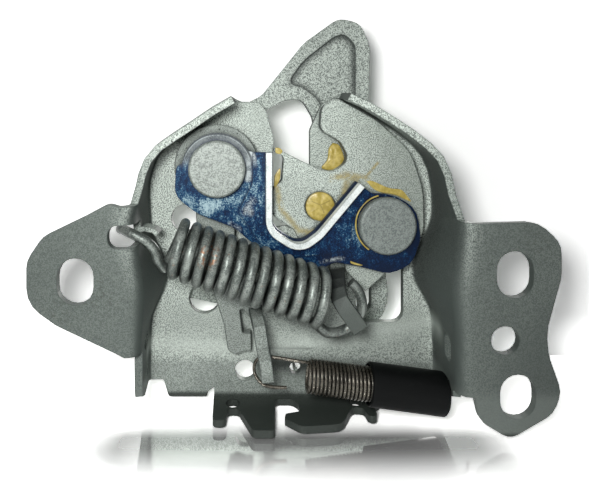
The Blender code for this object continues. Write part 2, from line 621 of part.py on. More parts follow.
def make_cover(parts, cutters):
    guide = rounded(GUIDE, closed=False, step=12)
    ring = arc(LEFT_PIVOT, COVER_RING, 172, 30, 14)
    edge = [(corner[0], corner[1], corner[2]) for corner in COVER_EDGE]
    outline = guide + rounded([(17.6, 11.6, 0)] + edge + [(*ring[0], 0)], closed=False)[1:-1]
    outline += ring + [(-11.3, 19.8)]
    holes = [circle(pivot, PIN_RADIUS + GAP) for pivot in (LEFT_PIVOT, RIGHT_PIVOT)]
    cover = plate("cover_bracket", [outline, *holes], COVER_FRONT, COVER, parts, "blue_zinc")
    inner = offset_path(guide, 0.15)
    land_edge = inner + rounded([(17.4, 11.3, 0)] + LAND_EDGE, closed=False)[1:]
    land = plate("guide_land", [land_edge], COVER_FRONT - LAND, COVER, cutters)
    boolean(cover, cutter(land), "UNION")
    lip_front = offset_path(guide, 0.3)
    lip_back = offset_path(guide, LIP)
    lip = plate("guide_lip", [lip_front + lip_back[::-1]], LIP_FRONT, COVER_FRONT - LIP_FRONT + 1,
                cutters)
    boolean(cover, cutter(lip), "UNION")
    return cover


def pivot_empty(name, pivot, parts):
    empty = bpy.data.objects.new(name, None)
    empty.location = (pivot[0] * MM, 0, pivot[1] * MM)
    empty.empty_display_size = 0.01
    parts.objects.link(empty)
    return empty


def carry(obj, empty):
    """Parents the piece to the empty on its joint's axis, without moving it."""
    bpy.context.view_layer.update()
    obj.parent = empty
    obj.matrix_parent_inverse = empty.matrix_world.inverted()


def make_claw(parts, cutters):
    outline = rounded(CLAW)
    bore = circle(RIGHT_PIVOT, BUSH_RADIUS + GAP)
    claw = plate("claw", [outline, bore], LEVER_FRONT, LEVER, parts, "zinc")
    tail = cutter(bar("claw_tail", CLAW_TAIL, CLAW_TAIL_SIZE, cutters))
    boolean(claw, tail, "UNION")
    centre, radius, depth = CLAW_DIMPLE
    dimple = cone("claw_dimple", centre, radius + 0.6, radius - 0.6, LEVER_FRONT - 1.0,
                  LEVER_FRONT + depth, cutters)
    boolean(claw, cutter(dimple), "DIFFERENCE")
    carry(claw, pivot_empty("claw_axis", RIGHT_PIVOT, parts))
    return claw


def make_pawl(parts, cutters):
    hub = arc(PAWL_HUB_CENTRE, PAWL_HUB, *PAWL_HUB_SPAN, 14)
    arm = rounded([(*hub[-1], 0)] + PAWL_ARM + [(*hub[0], 0)], closed=False)[1:-1]
    bore = circle(LEFT_PIVOT, BUSH_RADIUS + GAP)
    pawl = plate("pawl", [hub + arm, bore], LEVER_FRONT, LEVER, parts, "zinc")
    stations = [(centre, (1, 0, 0)) for centre in PAWL_STRIP]
    strip = cutter(bar("pawl_strip", stations, PAWL_STRIP_SIZE, cutters))
    boolean(pawl, strip, "UNION")
    carry(pawl, pivot_empty("pawl_axis", LEFT_PIVOT, parts))
    return pawl


def make_safety_hook(parts, cutters):
    outline = rounded(HOOK_EDGE)
    holes = [rounded(HOOK_WINDOW), circle(HOOK_PIVOT, PIN_RADIUS + GAP),
             circle(HOOK_SPRING_HOLE, HOOK_SPRING_WIRE / 2 + 0.4, 12)]
    hook = plate("safety_hook", [outline, *holes], HOOK_FRONT, HOOK, parts, "zinc")
    reach = HOOK_PANEL_SLOPE / HOOK_PANEL
    panel = rounded(HOOK_PANEL_EDGE)
    recess = tapered("panel_recess", panel, HOOK_FRONT - 0.4, HOOK_FRONT + HOOK_PANEL,
                     reach * (HOOK_PANEL + 0.4), cutters)
    boolean(hook, cutter(recess), "DIFFERENCE")
    carry(hook, pivot_empty("safety_hook_axis", HOOK_PIVOT, parts))
    return hook


def make_rivet(name, pivot, head_back, head_radius, tail_front, tail, parts):
    """A shouldered rivet: chamfered head in front, peened tail behind."""
    head_front = head_back - HEAD
    profile = [(0, tail_front + tail), (TAIL_RADIUS - 2.4, tail_front + tail),
               (TAIL_RADIUS, tail_front + 0.3), (TAIL_RADIUS, tail_front),
               (PIN_RADIUS, tail_front), (PIN_RADIUS, head_back), (head_radius, head_back),
               (head_radius, head_front + 0.5), (head_radius - 0.5, head_front),
               (0, head_front)]
    return turned(name, profile, pivot, parts, "rivet_steel")


def make_ring(name, pivot, inner, outer, front, back, finish, parts):
    profile = [(inner, back), (outer, back), (outer, front), (inner, front)]
    return turned(name, profile, pivot, parts, finish)


def make_pivots(parts):
    head_back = COVER_FRONT - GAP
    back = WEB_FRONT + SHEET
    for side, pivot in (("left", LEFT_PIVOT), ("right", RIGHT_PIVOT)):
        washer = (back + GAP, back + GAP + 0.5)
        make_rivet(side + "_rivet", pivot, head_back, HEAD_RADIUS, washer[1] + GAP, 1.0, parts)
        make_ring(side + "_bush", pivot, PIN_RADIUS + GAP, BUSH_RADIUS, COVER_FRONT + COVER + GAP,
                  WEB_FRONT - GAP, "rivet_steel", parts)
        make_ring(side + "_spacer", pivot, BUSH_RADIUS + GAP, SPACER_RADIUS,
                  LEVER_FRONT + LEVER + GAP, WEB_FRONT - GAP, "rivet_steel", parts)
        make_ring(side + "_rear_washer", pivot, PIN_RADIUS + GAP, 7.5, *washer, "rivet_steel",
                  parts)
    seat_front = WEB_FRONT + SEAT_DEPTH
    behind = HOOK_FRONT + HOOK + GAP
    bush_end = behind + HOOK_SPRING_TURNS * HOOK_SPRING_PITCH + HOOK_SPRING_WIRE + GAP
    washer = (bush_end + GAP, bush_end + GAP + 1.0)
    make_rivet("hook_rivet", HOOK_PIVOT, seat_front - GAP, 7.0, washer[1] + GAP, 1.4, parts)
    make_ring("hook_bush", HOOK_PIVOT, PIN_RADIUS + GAP, 5.4, behind, bush_end, "rivet_steel",
              parts)
    make_ring("hook_rear_washer", HOOK_PIVOT, PIN_RADIUS + GAP, 9.0, *washer, "rivet_steel",
              parts)


def coil(start, end, radius, turns, first, per_turn, y):
    """Helix points about an axis in the XZ plane; the angle runs top, front, foot, rear."""
    a, b = Vector((start[0], y, start[1])), Vector((end[0], y, end[1]))
    along = (b - a).normalized()
    front = Vector((0, -1, 0))
    up = along.cross(front).normalized() * -1
    if up.z < 0:
        up.negate()
    points = []
    count = round(turns * per_turn)
    for k in range(count + 1):
        angle = math.radians(first) + 2 * math.pi * turns * k / count
        points.append(a.lerp(b, k / count) + (up * math.cos(angle) + front * math.sin(angle))
                      * radius)
    return points


def make_main_spring(parts):
    hook = smooth([Vector(p) for p in MAIN_HOOK], 2)
    turns = coil(MAIN_START, MAIN_END, MAIN_RADIUS, MAIN_TURNS, 180, 14, MAIN_Y)
    loop = []
    for k, (x, z) in enumerate(arc(MAIN_LOOP_CENTRE, MAIN_LOOP_RADIUS, -118, 54, 15)):
        loop.append(Vector((x, 4.0 + min(k, 3) * 0.55, z)))
    points = hook + turns[1:] + loop[1:]
    return wire("main_spring", points, MAIN_WIRE, parts, "spring_steel")


def make_return_spring(parts):
    hook = smooth([Vector(p) for p in RETURN_HOOK], 2)
    turns = coil(RETURN_START, RETURN_END, RETURN_RADIUS, RETURN_TURNS, 0, 11, RETURN_Y)
    tail = [Vector((37.4, 5.2, -41.2)), Vector((39.0, RETURN_HOLE[0], RETURN_HOLE[1])),
            Vector((42.6, RETURN_HOLE[0], RETURN_HOLE[1])),
            Vector((45.4, RETURN_HOLE[0], RETURN_HOLE[1])),
            Vector((46.4, RETURN_HOLE[0], RETURN_HOLE[1] - 1.0)),
            Vector((46.6, RETURN_HOLE[0], RETURN_HOLE[1] - 3.0))]
    points = hook + turns[1:] + tail
    return wire("return_spring", points, RETURN_WIRE, parts, "fine_spring_steel", resolution=1)


def make_hook_spring(parts):
    y = HOOK_FRONT + HOOK + GAP + HOOK_SPRING_WIRE / 2
    x0, z0 = HOOK_PIVOT
    hole_x, hole_z = SHELF_SPRING_HOLE
    start_y, end_y = y, y + HOOK_SPRING_TURNS * HOOK_SPRING_PITCH
    fixed = [Vector((hole_x, WEB_FRONT + SHELF_STEP - 0.6, hole_z)),
             Vector((hole_x, start_y - 2.0, hole_z)), Vector((hole_x, start_y - 0.5, hole_z + 0.5)),
             Vector((hole_x + 0.6, start_y, hole_z + 2.0))]
    turns = []
    per_turn = 14
    sweep = HOOK_SPRING_TURNS * 360 + 130
    count = round(sweep / 360 * per_turn)
    for k in range(count + 1):
        angle = math.radians(-10 + sweep * k / count)
        turns.append(Vector((x0 + HOOK_SPRING_RADIUS * math.cos(angle),
                             start_y + (end_y - start_y) * k / count,
                             z0 + HOOK_SPRING_RADIUS * math.sin(angle))))
    free_x, free_z = HOOK_SPRING_HOLE
    moving = [Vector((free_x - 3.0, end_y, free_z - 3.4)), Vector((free_x - 0.6, end_y, free_z - 0.6)),
              Vector((free_x, end_y - 1.2, free_z)), Vector((free_x, HOOK_FRONT + 0.4, free_z))]
    points = fixed + turns + moving
    return wire("hook_spring", points, HOOK_SPRING_WIRE, parts, "spring_steel")


def make_sleeve(parts):
    slope = (RETURN_END[1] - RETURN_START[1]) / (RETURN_END[0] - RETURN_START[0])
    length = (SLEEVE_SPAN[1] - SLEEVE_SPAN[0]) * math.hypot(1, slope)
    profile = [(SLEEVE_BORE, length), (SLEEVE_RADIUS - 0.3, length),
               (SLEEVE_RADIUS, length - 0.4), (SLEEVE_RADIUS, 0.4), (SLEEVE_RADIUS - 0.3, 0),
               (SLEEVE_BORE, 0)]
    sleeve = turned("rubber_sleeve", profile, (0, 0), parts, "black_rubber")
    start_z = RETURN_START[1] + slope * (SLEEVE_SPAN[0] - RETURN_START[0])
    sleeve.rotation_euler = (0, math.pi / 2 + math.atan(-slope), 0)
    sleeve.location = (SLEEVE_SPAN[0] * MM, RETURN_Y * MM, start_z * MM)
    return sleeve


def main():
    clear_scene()
    parts = new_collection("bonnet_latch")
    cutters = new_collection("bonnet_latch_cutters")
    make_base_plate(parts, cutters)
    make_cover(parts, cutters)
    make_claw(parts, cutters)
    make_pawl(parts, cutters)
    make_safety_hook(parts, cutters)
    make_pivots(parts)
    make_main_spring(parts)
    make_return_spring(parts)
    make_hook_spring(parts)
    make_sleeve(parts)


main()
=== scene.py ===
import math

import bmesh
import bpy
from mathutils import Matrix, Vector, noise


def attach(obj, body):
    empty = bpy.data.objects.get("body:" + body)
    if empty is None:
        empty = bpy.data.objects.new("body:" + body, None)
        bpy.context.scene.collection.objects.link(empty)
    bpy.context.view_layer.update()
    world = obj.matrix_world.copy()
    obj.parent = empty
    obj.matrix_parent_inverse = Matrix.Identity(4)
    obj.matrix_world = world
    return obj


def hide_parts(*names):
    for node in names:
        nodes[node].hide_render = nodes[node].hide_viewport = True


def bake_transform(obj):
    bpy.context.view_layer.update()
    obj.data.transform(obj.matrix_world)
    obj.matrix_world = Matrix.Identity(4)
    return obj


# Places are in millimetres as the front shows them: x to the right, y to the rear, z up.
# A place with two numbers is x and z.
mm = 0.001

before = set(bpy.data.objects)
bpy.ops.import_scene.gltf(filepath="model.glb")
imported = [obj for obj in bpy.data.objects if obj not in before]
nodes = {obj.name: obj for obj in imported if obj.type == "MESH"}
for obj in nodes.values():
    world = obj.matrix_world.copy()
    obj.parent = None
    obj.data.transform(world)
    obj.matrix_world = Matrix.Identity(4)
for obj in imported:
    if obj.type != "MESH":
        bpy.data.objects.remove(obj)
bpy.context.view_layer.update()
print("frame loaded:", len(nodes), "pieces")

bpy.context.scene.view_settings.view_transform = "Standard"


def metres(place):
    return tuple(v * mm for v in place)


class Port:  # one output of a node, so that a material reads as sums
    def __init__(self, shader, socket):
        self.shader, self.socket = shader, socket

    def math(self, operation, *others):
        return self.shader.node("ShaderNodeMath", {"operation": operation}, [self, *others])

    def __add__(self, other):
        return self.math("ADD", other)

    __radd__ = __add__

    def __sub__(self, other):
        return self.math("SUBTRACT", other)

    def __rsub__(self, other):
        return self.shader.node("ShaderNodeMath", {"operation": "SUBTRACT"}, [other, self])

    def __mul__(self, other):
        return self.math("MULTIPLY", other)

    __rmul__ = __mul__


class Shader:  # a material with one call that makes any node
    def __init__(self, name, **sockets):
        self.material = bpy.data.materials.new(name)
        self.material.use_nodes = True
        self.tree = self.material.node_tree
        self.surface = self.tree.nodes["Principled BSDF"]
        for socket, value in sockets.items():
            self.surface.inputs[socket.replace("_", " ")].default_value = value
        self.place = self.node("ShaderNodeTexCoord", output="Object")

    def node(self, kind, settings=(), inputs=(), output=0):
        made = self.tree.nodes.new(kind)
        for key, value in dict(settings).items():
            if key == "stops":
                ramp = made.color_ramp
                while len(ramp.elements) < len(value):
                    ramp.elements.new(0.5)
                for element, (at, colour) in zip(ramp.elements, value):
                    element.position, element.color = at, (*colour, 1)
            else:
                setattr(made, key, value)
        pairs = inputs.items() if isinstance(inputs, dict) else enumerate(inputs)
        for socket, value in pairs:
            if isinstance(value, Port):
                self.tree.links.new(value.socket, made.inputs[socket])
            else:
                made.inputs[socket].default_value = value
        return Port(self, made.outputs[output])

    def vector(self, operation, *values, output=0):
        return self.node("ShaderNodeVectorMath", {"operation": operation}, list(values),
                         output=output)

    def moved(self, scale, turn):
        inputs = {"Vector": self.place, "Rotation": turn, "Scale": scale}
        return self.node("ShaderNodeMapping", {}, inputs)

    def noise(self, size, detail=3.0, rough=0.55, at=None):  # size of a patch in mm
        inputs = {"Vector": at or self.place, "Scale": 1000 / size, "Detail": detail,
                  "Roughness": rough}
        return self.node("ShaderNodeTexNoise", {}, inputs)

    def cells(self, size):  # distance to the nearest of scattered points, size in mm
        inputs = {"Vector": self.place, "Scale": 1000 / size}
        return self.node("ShaderNodeTexVoronoi", {}, inputs)

    def step(self, value, low, high):  # a smooth change from 0 at low to 1 at high
        return self.node("ShaderNodeMapRange", {"interpolation_type": "SMOOTHSTEP"},
                         [value, low, high])

    def blend(self, factor, one, two):
        one, two = [(*c, 1) if isinstance(c, tuple) else c for c in (one, two)]
        return self.node("ShaderNodeMix", {"data_type": "RGBA"}, {0: factor, 6: one, 7: two},
                         output=2)

    def most(self, *ports):
        found = ports[0]
        for port in ports[1:]:
            found = found.math("MAXIMUM", port)
        return found

    def edges(self, radius):  # 0 on a flat face, rising to 1 at a corner
        rounded = self.node("ShaderNodeBevel", {"samples": 6}, {"Radius": radius * mm})
        flat = self.node("ShaderNodeNewGeometry", output="Normal")
        alike = self.vector("DOT_PRODUCT", rounded, flat, output="Value")
        return self.step(alike, 1.0, 0.9)

    def crevice(self, reach):  # 1 in the open, falling where another face is close
        inputs = {"Distance": reach * mm}
        return self.node("ShaderNodeAmbientOcclusion", {"samples": 6}, inputs, output="AO")

    def along(self, axis):  # mm along one axis
        return self.node("ShaderNodeSeparateXYZ", {}, [self.place], output=axis) * 1000

    def facing(self, axis):  # 1 where a face looks along the axis, either way
        normal = self.node("ShaderNodeTexCoord", output="Normal")
        return self.node("ShaderNodeSeparateXYZ", {}, [normal], output=axis).math("ABSOLUTE")

    def front(self):  # the place in mm, as the front shows it
        return self.vector("MULTIPLY", self.place, (1000, 0, 1000))

    def away(self, place):  # mm from a place, as the front shows it
        return self.vector("DISTANCE", self.front(), (place[0], 0, place[1]), output="Value")

    def near(self, place, radius, soft=0.4):  # 1 inside a round patch
        return self.step(self.away(place), radius + soft, radius - soft)

    def stroke(self, one, two, width, soft=0.4):  # 1 along a straight stroke
        run = Vector((two[0] - one[0], 0, two[1] - one[1]))
        start = (one[0], 0, one[1])
        offset = self.vector("SUBTRACT", self.front(), start)
        share = self.vector("DOT_PRODUCT", offset, tuple(run / run.length_squared),
                            output="Value")
        share = self.node("ShaderNodeClamp", {}, [share, 0.0, 1.0])
        reached = self.node("ShaderNodeVectorMath", {"operation": "SCALE"},
                            {"Vector": tuple(run), "Scale": share})
        away = self.vector("DISTANCE", offset, reached, output="Value")
        return self.step(away, width / 2 + soft, width / 2 - soft)

    def strokes(self, each):
        return self.most(*[self.stroke(*one) for one in each])

    def bump(self, height, strength, depth):
        inputs = {"Height": height, "Strength": strength, "Distance": depth * mm}
        return self.node("ShaderNodeBump", {}, inputs)

    def end(self, **sockets):  # links to the Principled shader
        for socket, port in sockets.items():
            self.tree.links.new(port.socket, self.surface.inputs[socket.replace("_", " ")])
        return self.material


def placed(name, mesh):
    piece = bpy.data.objects.new(name, mesh)
    bpy.context.scene.collection.objects.link(piece)
    return piece


def dressed(node, material, bevel=0.3, sharp=35, flatten=True):
    # A copy of a solid with its edges broken, in the same place
    mesh = nodes[node].data.copy()
    shape = bmesh.new()
    shape.from_mesh(mesh)
    bmesh.ops.remove_doubles(shape, verts=shape.verts, dist=0.004 * mm)
    if flatten:
        bmesh.ops.dissolve_limit(shape, angle_limit=math.radians(0.8), verts=shape.verts,
                                 edges=shape.edges)
    shape.to_mesh(mesh)
    shape.free()
    piece = placed(node + "_finish", mesh)
    piece.data.materials.clear()
    piece.data.materials.append(material)
    if bevel:
        edge = piece.modifiers.new("Broken edges", "BEVEL")
        edge.width = bevel * mm
        edge.segments = 2
        edge.limit_method = "ANGLE"
        edge.angle_limit = math.radians(sharp + 5)
        edge.use_clamp_overlap = not flatten
        edge.miter_outer = "MITER_ARC"
    piece.data.shade_smooth()
    smooth = piece.modifiers.new("Even shading", "WEIGHTED_NORMAL")
    smooth.keep_sharp = True
    piece.data.set_sharp_from_angle(angle=math.radians(sharp))
    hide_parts(node)
    return piece


def smoothCurve(points, steps):
    ends = [points[0] * 2 - points[1], *points, points[-1] * 2 - points[-2]]
    curve = []
    for a, b, c, d in zip(ends, ends[1:], ends[2:], ends[3:]):
        for k in range(steps):
            t = k / steps
            curve.append(0.5 * (2 * b + (c - a) * t + (2 * a - 5 * b + 4 * c - d) * t**2
                                + (3 * b - a - 3 * c + d) * t**3))
    return [*curve, points[-1]]


def circlePoints(centre, radius, start, end, step):
    count = max(2, round(abs(end - start) / step))
    angles = [math.radians(start + (end - start) * k / count) for k in range(count + 1)]
    return [(centre[0] + radius * math.cos(a), centre[1] + radius * math.sin(a)) for a in angles]


def wirePiece(name, points, diameter, material, roundness=5):
    curve = bpy.data.curves.new(name, "CURVE")
    curve.dimensions = "3D"
    curve.bevel_depth = diameter / 2 * mm
    curve.bevel_resolution = roundness
    curve.use_fill_caps = True
    spline = curve.splines.new("POLY")
    spline.points.add(len(points) - 1)
    for point, place in zip(spline.points, points):
        point.co = (*(Vector(place) * mm), 1)
    holder = placed(name, curve)
    bpy.context.view_layer.update()
    graph = bpy.context.evaluated_depsgraph_get()
    mesh = bpy.data.meshes.new_from_object(holder.evaluated_get(graph))
    bpy.data.objects.remove(holder)
    shape = bmesh.new()
    shape.from_mesh(mesh)
    bmesh.ops.remove_doubles(shape, verts=shape.verts, dist=0.001 * mm)
    bmesh.ops.recalc_face_normals(shape, faces=shape.faces)
    shape.to_mesh(mesh)
    shape.free()
    mesh.materials.append(material)
    mesh.shade_smooth()
    mesh.set_sharp_from_angle(angle=math.radians(60))
    return placed(name, mesh)


zincLook = {
    "pale": (0.65, 0.72, 0.66),
    "dull": (0.15, 0.175, 0.158),
    # the colour of real pits and scratches, also used for the painted shade in crevices and along
    # edges
    "pit": (0.025, 0.032, 0.029),
    "side": (0.022, 0.028, 0.026),  # painted shade on faces that look sideways, such as the walls
    "grain": 0.30,  # mm, as are the sizes below
    "cloud": 16.0,
    "dots": 0.8,
    "pits": 2.6,
    "scratches": 1.0,
    "gap": 2.2,  # painted shade: a face closer than this to another is darkened
    "rim": 0.45,  # painted shade: the dark line along an edge
    "metal": 0.1,
    "rough": 0.5,
}


def zincMaterial(name, stains=None, look=zincLook):
    s = Shader(name, Metallic=look["metal"], Specular_IOR_Level=0.25)
    cloud = s.noise(look["cloud"], 4, 0.6)
    speck = s.noise(look["grain"], 2, 0.7)
    coarse = s.noise(look["grain"] * 2.6, 2, 0.6)
    shade = s.step(speck * 0.85 + coarse * 0.15, 0.42, 0.56)
    base = s.blend(shade, look["dull"], look["pale"])
    base = s.blend(s.step(cloud, 0.42, 0.66) * 0.22, base, look["dull"])
    # painted shade: faces that look sideways are darkened
    base = s.blend(s.step(s.facing("X"), 0.3, 0.85) * 0.9, base, look["side"])
    dots = s.step(s.cells(look["dots"]), 0.2, 0.08) * s.step(s.noise(2.2, 2), 0.42, 0.54)
    pits = s.step(s.cells(look["pits"]), 0.14, 0.05) * s.step(s.noise(8.0, 2), 0.52, 0.62)
    drawn = s.moved((0.06, 0.3, 1.0), (0, 0.7, 0))
    scratches = s.step(s.noise(look["scratches"], 3, 0.6, drawn), 0.68, 0.73)
    scratches = scratches * s.step(s.noise(11.0, 2), 0.52, 0.62)
    base = s.blend(s.most(dots * 0.8, pits * 0.95, scratches * 0.7), base, look["pit"])
    # painted shade in crevices and along edges
    close = s.step(s.crevice(look["gap"]), 0.92, 0.35)
    base = s.blend(s.most(close * 0.92, s.edges(look["rim"]) * 0.9), base, look["pit"])
    if stains:
        base = stains(s, base)
    rough = look["rough"] + shade * 0.08 + cloud * 0.08
    height = speck * 0.8 + coarse * 0.5 - pits * 1.2
    return s.end(Base_Color=base, Roughness=rough, Normal=s.bump(height, 0.4, 0.12))


plateLook = {
    "edge": 0.28,  # mm
    "ear": (0.07, 0.085, 0.078),
    "earFrom": (36.0, 50.0),  # mm from the middle of the web, over which the painted shade grows
    "lowEar": (0.03, 0.038, 0.035),
    "lowEarPlace": (70.0, -38.0),
    "shelf": (0.27, 0.305, 0.28),
    "shelfSpan": ((-31.0, -33.0), (33.0, -33.0), 13.0, 4.5),
    # painted shade on the lowest part of the shelf
    "shelfFoot": (0.17, 0.195, 0.18),
    "band": (0.60, 0.665, 0.61),  # painted highlight: the bright line on the fold above the shelf
    "bandStrokes": [((-41.0, -36.5), (-6.0, -38.6), 2.6, 3.2),
                    ((-6.0, -38.6), (12.0, -35.6), 2.6, 3.2),
                    ((12.0, -35.6), (46.0, -29.6), 3.4, 3.6)],
    "shade": (0.010, 0.013, 0.011),  # under the sleeve and the return spring
    "shadeSpan": ((-8.0, -42.0), (40.0, -46.5), 5.0, 2.5),
    # painted shade on the bottom flange
    "foot": (0.010, 0.014, 0.011),
    "rubbed": (0.07, 0.08, 0.07),  # where bolt heads rubbed, beside the slots
    "rubbedMarks": [((-50.0, -16.0), 5.5, 3.5), ((59.5, -3.0), 4.0, 3.0),
                    ((50.0, -20.0), 3.0, 2.0), ((-60.0, -21.0), 4.0, 2.5)],
}


def plateStains(s, base):
    look = plateLook
    # painted shade: the ears darken away from the middle, and the lower right ear more
    ears = s.step(s.away((0, 8)), *look["earFrom"]) * s.step(s.along("Y"), 15.0, 9.0)
    base = s.blend(ears * 0.86, base, look["ear"])
    base = s.blend(s.near(look["lowEarPlace"], 14.0, 16.0) * 0.6, base, look["lowEar"])
    smooth = s.stroke(*look["shelfSpan"]) * s.step(s.along("Y"), 11.0, 15.0)
    base = s.blend(smooth * 0.5, base, look["shelf"])
    # painted shade: darker towards the bottom of the shelf and on the bottom flange
    base = s.blend(s.step(s.along("Z"), -39.0, -43.0) * 0.6, base, look["shelfFoot"])
    # painted highlight along the fold
    band = s.strokes(look["bandStrokes"]) * s.step(s.along("Y"), 8.0, 13.0)
    base = s.blend(band * 0.5, base, look["band"])
    base = s.blend(s.stroke(*look["shadeSpan"]) * 0.86, base, look["shade"])
    base = s.blend(s.step(s.along("Z"), -50.0, -51.2) * 0.86, base, look["foot"])
    marks = s.most(*[s.near(*mark) for mark in look["rubbedMarks"]])
    broken = s.step(s.noise(0.9, 4, 0.7), 0.54, 0.60)
    return s.blend(marks * broken * 0.8, base, look["rubbed"])


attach(dressed("base_plate", zincMaterial("plate_zinc", plateStains), plateLook["edge"],
                flatten=False), "plate")
print("base plate dressed")

clawLook = {
    "edge": 0.3,  # mm
    # painted shade: the tail is darkened, and its side faces more
    "tail": (0.06, 0.071, 0.065),
    "tailSide": (0.004, 0.005, 0.005),
    "tailFrom": (12.6, 11.0),  # mm, the tail comes forward of the lever's face
    # painted shade: the claw darkens towards its right
    "right": (0.17, 0.195, 0.17),
    "rightFrom": (8.0, 32.0),
    "film": [((10.9, 12.2), (14.9, 13.0), 1.6, 0.8), ((14.9, 13.0), (20.8, 11.9), 2.2, 0.9),
             ((15.4, 11.2), (13.4, 4.4), 1.6, 0.9), ((20.8, 12.7), (24.3, 16.8), 0.7, 0.3),
             ((-4.7, 11.0), (-3.4, 3.6), 1.4, 0.8), ((-3.4, 3.6), (1.8, -2.6), 1.4, 0.8),
             ((1.8, -2.6), (8.4, -3.4), 1.6, 0.9), ((9.0, -2.0), (13.0, 1.6), 1.2, 0.8)],
    "filmThin": (0.25, 0.21, 0.09),
    "filmThick": (0.36, 0.31, 0.14),
}


def clawStains(s, base):  # smeared grease, and painted shade on the tail, darkest on its side faces
    look = clawLook
    # painted shade on the tail; steel holds its shaded tone, darker on the side faces
    steel = s.blend(s.step(s.facing("Y"), 0.35, 0.95), look["tailSide"], look["tail"])
    base = s.blend(s.step(s.along("Y"), *look["tailFrom"]) * 0.97, base, steel)
    # painted shade: darker towards the right
    base = s.blend(s.step(s.along("X"), *look["rightFrom"]) * 0.5, base, look["right"])
    film = s.strokes(look["film"]) * s.step(s.noise(2.0, 4, 0.65), 0.36, 0.52)
    tint = s.blend(s.step(s.noise(1.0, 3), 0.4, 0.6), look["filmThin"], look["filmThick"])
    return s.blend(film * 0.85, base, tint)


pawlLook = {**zincLook, "pale": (0.34, 0.38, 0.35), "dull": (0.13, 0.15, 0.137), "edge": 0.3}
hookLook = {
    **zincLook,
    "pale": (0.54, 0.60, 0.55),
    "dull": (0.12, 0.14, 0.128),
    "edge": 0.3,
    "panel": (0.03, 0.037, 0.034),
    "panelRim": [(11.5, 31.0), (8.6, 35.7), (4.6, 39.2), (0.4, 40.4), (4.7, 46.6), (13.2, 53.4),
                 (16.4, 54.6), (19.3, 51.6), (19.4, 34.0)],
}


def hookStains(s, base):  # painted shade on the sloping rim of the pressed panel
    rim = hookLook["panelRim"]
    lines = s.strokes([(one, two, 0.8, 1.5) for one, two in zip(rim, rim[1:])])
    return s.blend(lines * 0.8, base, hookLook["panel"])


claw = dressed("claw", zincMaterial("greased_zinc", clawStains), clawLook["edge"])
pawl = dressed("pawl", zincMaterial("pawl_zinc", look=pawlLook), pawlLook["edge"])
hook = dressed("safety_hook", zincMaterial("hook_zinc", hookStains, hookLook), hookLook["edge"],
               flatten=False)
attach(claw, "claw")
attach(pawl, "pawl")
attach(hook, "safety_hook")
print("levers dressed")

coverLook = {
    "edge": 0.3,  # mm
    "blue": [(0.0, (0.001, 0.007, 0.026)), (0.32, (0.003, 0.026, 0.085)),
             (0.62, (0.015, 0.08, 0.15)), (1.0, (0.36, 0.49, 0.53))],
    "silver": (0.55, 0.61, 0.61),
    "dullSilver": (0.16, 0.19, 0.20),
    # bare metal of the lip, painted nearly white as a sheen
    "lip": (0.80, 0.85, 0.83),
    "dullLip": (0.50, 0.55, 0.54),
    # painted shade in the groove and above the left rivet
    "groove": (0.02, 0.025, 0.028),
    "navy": (0.004, 0.009, 0.028),
    "lipRear": 9.8,  # mm, the bare lip is in front of this
    "ring": (-21.4, 15.0),  # bare ring round the left rivet
    "ringRadius": 9.6,
    "grooveRadius": 10.3,
    "flank": ((-12.9, 19.6), (-12.7, 12.5), 1.9, 0.5),
    "island": ((-13.6, 3.1), (-11.4, 6.4), 1.0, 1.2),
    "islandFoot": ((-12.1, 3.2), 0.6, 1.2),
    "lowWear": [((7.6, -10.8), (14.0, -9.9), 0.5, 0.7), ((-17.6, -0.4), (-15.4, -1.6), 1.0, 0.8)],
}


